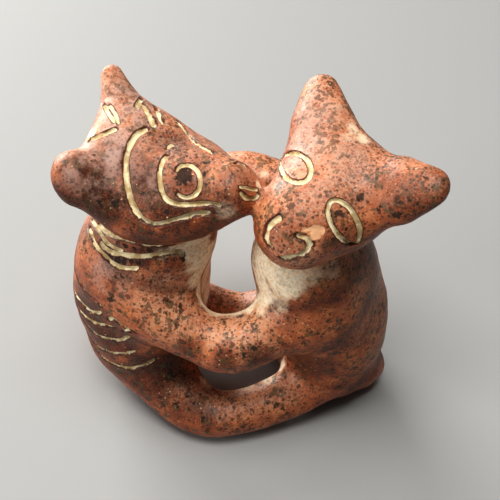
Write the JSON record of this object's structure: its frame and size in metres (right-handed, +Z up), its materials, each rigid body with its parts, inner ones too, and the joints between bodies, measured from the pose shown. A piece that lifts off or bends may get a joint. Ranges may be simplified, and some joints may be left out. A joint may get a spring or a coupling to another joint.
{
  "type": "ceramic animal pair figurine",
  "caption": "Solid burnished redware figurine of two squatting long-eared animals, arms and legs joined, standing flat on its underside.",
  "frame": {"origin": "middle of the underside's bounding box, on the surface that the figurine stands on", "axes": "+Z up, +X from the left animal to the right one, +Y to the far side, away from the side that both faces show"},
  "size_m": [0.0921, 0.0483, 0.0955],
  "materials": {
    "burnished_clay": "burnished red-orange fired clay, semi-gloss, with dark speckles and cream clay deposit left in its grooves"
  },
  "bodies": {
    "root": {"cat_pair": "burnished_clay"}
  },
  "joints": []
}
